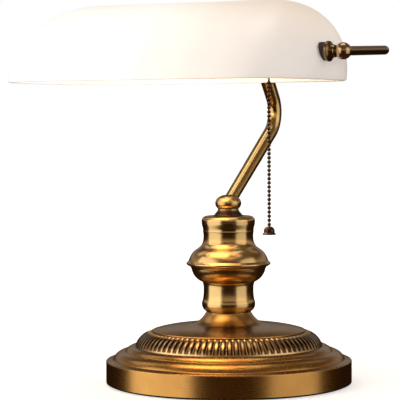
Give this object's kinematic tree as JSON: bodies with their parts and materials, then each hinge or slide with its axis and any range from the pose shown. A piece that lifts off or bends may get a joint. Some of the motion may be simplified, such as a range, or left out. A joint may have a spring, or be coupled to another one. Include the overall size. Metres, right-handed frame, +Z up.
{
  "type": "banker desk lamp",
  "caption": "Desk lamp with a long opal glass shade tilting in a U-shaped yoke on a curved stem, a turned brass column, a fluted round base and a pull-chain switch.",
  "frame": {"origin": "centre of the felt under the round base, on the surface the lamp stands on", "axes": "+Z up along the column; +X along the shade's length, towards the pull chain; the shade stands out towards -Y"},
  "size_m": [0.2762, 0.2431, 0.2852],
  "materials": {
    "antique_brass": "satin antique brass, turned and lacquered",
    "plain_brass": "plain turned brass",
    "dark_bronze": "dark oiled bronze",
    "opal_glass": "glossy white opal glass",
    "felt": "dark pressed felt",
    "iron": "rough cast iron",
    "steel_plate": "zinc-plated steel",
    "black_plastic": "moulded black nylon",
    "lead_insulation": "gold-brown flexible insulation",
    "gasket_rubber": "soft dark brown rubber",
    "liner_card": "pressed insulating paper",
    "bakelite": "moulded phenolic",
    "bulb_cap_metal": "rolled thread",
    "bulb_frosted": "frosted",
    "clear_glass": "clear",
    "filament_wire": "coiled wire"
  },
  "bodies": {
    "stand": {"felt_pad": "felt", "bottom_plate": "steel_plate", "base_weight": "iron", "tube_nut_washer": "steel_plate", "base_shell": "antique_brass", "inlet_bushing": "black_plastic", "fluted_ring": "antique_brass", "base_saucer": "antique_brass", "column_lower": "antique_brass", "column_upper": "antique_brass", "column_cap": "antique_brass", "neck_collar": "antique_brass", "stem_ball": "antique_brass", "centre_tube": "steel_plate", "tube_nut": "steel_plate", "stem_tube": "antique_brass", "yoke_hub": "antique_brass", "yoke_tube": "antique_brass", "yoke_ball_right": "antique_brass", "yoke_ball_left": "antique_brass", "power_lead": "lead_insulation"},
    "shade": {"shade_glass": "opal_glass", "pivot_cap_right": "antique_brass", "pivot_cap_left": "antique_brass", "pivot_nipple_right": "plain_brass", "pivot_nipple_left": "plain_brass", "locknut_right": "plain_brass", "locknut_left": "plain_brass", "outer_gasket_right": "gasket_rubber", "outer_gasket_left": "gasket_rubber", "inner_gasket_right": "gasket_rubber", "inner_gasket_left": "gasket_rubber", "inner_bracket": "plain_brass", "socket_cap": "antique_brass", "socket_shell": "antique_brass", "socket_liner": "liner_card", "screw_shell": "plain_brass", "centre_contact": "plain_brass", "switch_block": "bakelite", "chain_guide": "antique_brass", "socket_lead": "lead_insulation"},
    "bulb": {"bulb_cap": "bulb_cap_metal", "bulb_glass": "bulb_frosted", "bulb_stem": "clear_glass", "bulb_filament": "filament_wire"},
    "switch_plunger": {"switch_plunger": "dark_bronze"},
    "chain_top": {"chain_top_bead": "dark_bronze"},
    "chain": {"chain_second_bead": "dark_bronze", "chain_beads": "dark_bronze", "chain_links": "dark_bronze", "pull_bell": "dark_bronze"}
  },
  "joints": [
    {"name": "shade_tilt", "type": "hinge", "parent": "stand", "child": "shade", "pos_m": [0, -0.079, 0.247], "axis": [1, 0, 0], "range_deg": [-45, 45]},
    {"name": "bulb_screw", "type": "hinge", "parent": "shade", "child": "bulb", "pos_m": [0.05, -0.079, 0.247], "axis": [1, 0, 0], "range_deg": [0, 720]},
    {"name": "chain_pull", "type": "slide", "parent": "shade", "child": "switch_plunger", "axis": [0, 0, -1], "range_m": [0, 0.005], "stiffness_N_per_m": 1200, "springref_m": -0.0005},
    {"name": "chain_plumb", "type": "hinge", "parent": "switch_plunger", "child": "chain_top", "pos_m": [0.075, -0.079, 0.2262], "axis": [1, 0, 0], "range_deg": [-50, 50]},
    {"name": "chain_sway", "type": "hinge", "parent": "chain_top", "child": "chain", "pos_m": [0.075, -0.079, 0.22325], "axis": [0, 1, 0], "range_deg": [-25, 25]}
  ],
  "couplings": [
    {"joint": "chain_plumb", "follows": "shade_tilt", "ratio": -1}
  ]
}
